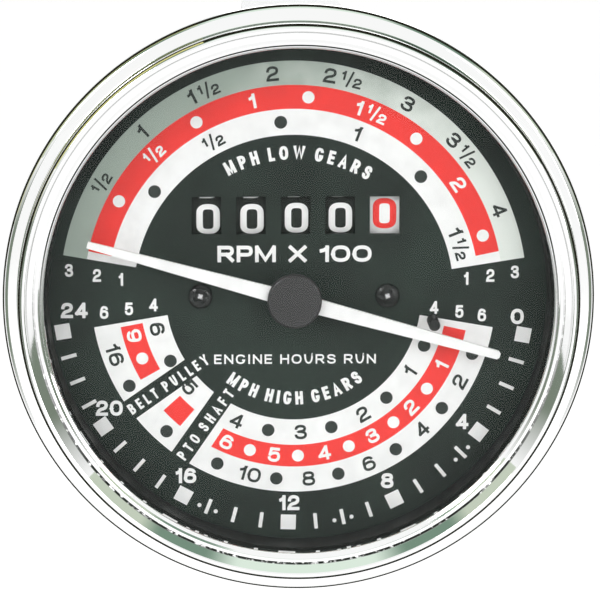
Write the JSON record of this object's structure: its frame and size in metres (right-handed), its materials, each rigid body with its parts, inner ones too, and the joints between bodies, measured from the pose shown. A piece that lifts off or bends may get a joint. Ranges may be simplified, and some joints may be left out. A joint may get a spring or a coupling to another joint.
{
  "type": "tractor tachometer",
  "caption": "Round dashboard tachometer with a double-ended pointer, printed speed bands, an engine hour counter behind windows, a chrome bezel, a cable drive and a rear clamp.",
  "frame": {"origin": "centre of the case barrel in the plane of the panel's face, where the bezel's back rim sits", "axes": "the dial faces -Y, the drive cable enters along the +Y end, +Z is the dial's up and +X its right"},
  "size_m": [0.109, 0.091, 0.109],
  "materials": {
    "chrome": "polished plate",
    "clear_glass": "clear flat glass",
    "black_rubber": "matt moulded rubber",
    "black_enamel": "satin black enamel",
    "dial_black": "matt black dial paint with screen-printed bands and figures",
    "white_enamel": "satin white enamel",
    "black_plastic": "fine matt moulding",
    "case_paint": "semi-gloss black stoved enamel",
    "zinc_plate": "bright zinc plate",
    "steel": "turned steel",
    "brass": "turned brass",
    "aluminium": "spun aluminium",
    "diecast": "as-cast zinc alloy",
    "magnet_alloy": "cast magnet alloy",
    "felt": "oiled felt",
    "ruby": "polished jewel",
    "drum_black": "black moulded drum with white figures",
    "drum_white": "white moulded drum with red figures",
    "white_nylon": "natural nylon",
    "bulb_glass": "clear bulb"
  },
  "bodies": {
    "root": {"case_can": "case_paint", "bezel": "chrome", "glass": "clear_glass", "glass_seal": "black_rubber", "spacer_ring": "black_enamel", "dial_plate": "dial_black", "dial_screws": "black_enamel", "dial_spacers": "brass", "hairspring": "steel", "front_bridge": "brass", "front_bush": "brass", "stop_pins": "black_enamel", "regulator_lever": "brass", "field_cup": "steel", "spindle_bushes": "brass", "thrust_washer": "steel", "oil_felt": "felt", "cross_bushes": "brass", "lay_bushes": "brass", "movement_frame": "diecast", "lower_pillars": "steel", "upper_pillars": "steel", "counter_frame": "zinc_plate", "drum_shaft": "steel", "carry_shaft": "steel", "shaft_clips": "steel", "drive_nipple": "zinc_plate", "case_screws": "zinc_plate", "mounting_studs": "zinc_plate", "clamp_bracket": "zinc_plate", "spring_washers": "zinc_plate", "knurled_nuts": "zinc_plate", "lamp_holders": "white_nylon", "lamp_bulbs": "bulb_glass", "bulb_caps": "brass"},
    "pointer": {"pointer": "white_enamel", "pointer_cap": "black_plastic", "pointer_staff": "steel", "hairspring_collet": "brass", "drag_cup": "aluminium"},
    "spindle": {"drive_spindle": "steel", "spindle_worm": "brass", "magnet": "magnet_alloy", "staff_jewel": "ruby"},
    "cross": {"cross_shaft": "steel", "cross_wheel": "brass", "cross_worm": "brass"},
    "lay": {"layshaft": "steel", "lay_wheel": "white_nylon", "lay_worm": "brass"},
    "tenths": {"drum_tenths": "drum_white", "counter_wheel": "white_nylon"},
    "units": {"drum_units": "drum_black"},
    "tens": {"drum_tens": "drum_black"},
    "hundreds": {"drum_hundreds": "drum_black"},
    "thousands": {"drum_thousands": "drum_black"},
    "pinion_1": {"carry_pinion_1": "white_nylon"},
    "pinion_2": {"carry_pinion_2": "white_nylon"},
    "pinion_3": {"carry_pinion_3": "white_nylon"},
    "pinion_4": {"carry_pinion_4": "white_nylon"}
  },
  "joints": [
    {"name": "pointer_swing", "type": "hinge", "parent": "root", "child": "pointer", "pos_m": [0, 0, 0], "axis": [0, 1, 0], "range_deg": [0, 155.4], "stiffness_Nm_per_rad": 0.0002, "springref_deg": -17.19, "deforming": ["hairspring"]},
    {"name": "spindle_spin", "type": "hinge", "parent": "root", "child": "spindle", "pos_m": [0, 0, 0], "axis": [0, 1, 0], "continuous": true},
    {"name": "cross_spin", "type": "hinge", "parent": "root", "child": "cross", "pos_m": [0, 0.05386, -0.01047], "axis": [1, 0, 0], "continuous": true},
    {"name": "lay_spin", "type": "hinge", "parent": "root", "child": "lay", "pos_m": [0.02423, 0, 0.00432], "axis": [0, 1, 0], "continuous": true},
    {"name": "tenths_spin", "type": "hinge", "parent": "root", "child": "tenths", "pos_m": [0, 0.0167, 0.0151], "axis": [1, 0, 0], "continuous": true},
    {"name": "units_spin", "type": "hinge", "parent": "root", "child": "units", "pos_m": [0, 0.0167, 0.0151], "axis": [1, 0, 0], "continuous": true},
    {"name": "tens_spin", "type": "hinge", "parent": "root", "child": "tens", "pos_m": [0, 0.0167, 0.0151], "axis": [1, 0, 0], "continuous": true},
    {"name": "hundreds_spin", "type": "hinge", "parent": "root", "child": "hundreds", "pos_m": [0, 0.0167, 0.0151], "axis": [1, 0, 0], "continuous": true},
    {"name": "thousands_spin", "type": "hinge", "parent": "root", "child": "thousands", "pos_m": [0, 0.0167, 0.0151], "axis": [1, 0, 0], "continuous": true},
    {"name": "pinion_1_spin", "type": "hinge", "parent": "root", "child": "pinion_1", "pos_m": [0, 0.02511, 0.02351], "axis": [1, 0, 0], "continuous": true},
    {"name": "pinion_2_spin", "type": "hinge", "parent": "root", "child": "pinion_2", "pos_m": [0, 0.02511, 0.02351], "axis": [1, 0, 0], "continuous": true},
    {"name": "pinion_3_spin", "type": "hinge", "parent": "root", "child": "pinion_3", "pos_m": [0, 0.02511, 0.02351], "axis": [1, 0, 0], "continuous": true},
    {"name": "pinion_4_spin", "type": "hinge", "parent": "root", "child": "pinion_4", "pos_m": [0, 0.02511, 0.02351], "axis": [1, 0, 0], "continuous": true}
  ],
  "couplings": [
    {"joint": "cross_spin", "follows": "spindle_spin", "ratio": 0.028571},
    {"joint": "lay_spin", "follows": "spindle_spin", "ratio": 0.00071429},
    {"joint": "tenths_spin", "follows": "spindle_spin", "ratio": -0.000021645},
    {"joint": "units_spin", "follows": "spindle_spin", "ratio": -0.0000021645},
    {"joint": "tens_spin", "follows": "spindle_spin", "ratio": -0.00000021645},
    {"joint": "hundreds_spin", "follows": "spindle_spin", "ratio": -0.000000021645},
    {"joint": "thousands_spin", "follows": "spindle_spin", "ratio": -0.0000000021645},
    {"joint": "pinion_1_spin", "follows": "spindle_spin", "ratio": 0.0000054113},
    {"joint": "pinion_2_spin", "follows": "spindle_spin", "ratio": 0.00000054113},
    {"joint": "pinion_3_spin", "follows": "spindle_spin", "ratio": 0.000000054113},
    {"joint": "pinion_4_spin", "follows": "spindle_spin", "ratio": 0.0000000054113}
  ]
}
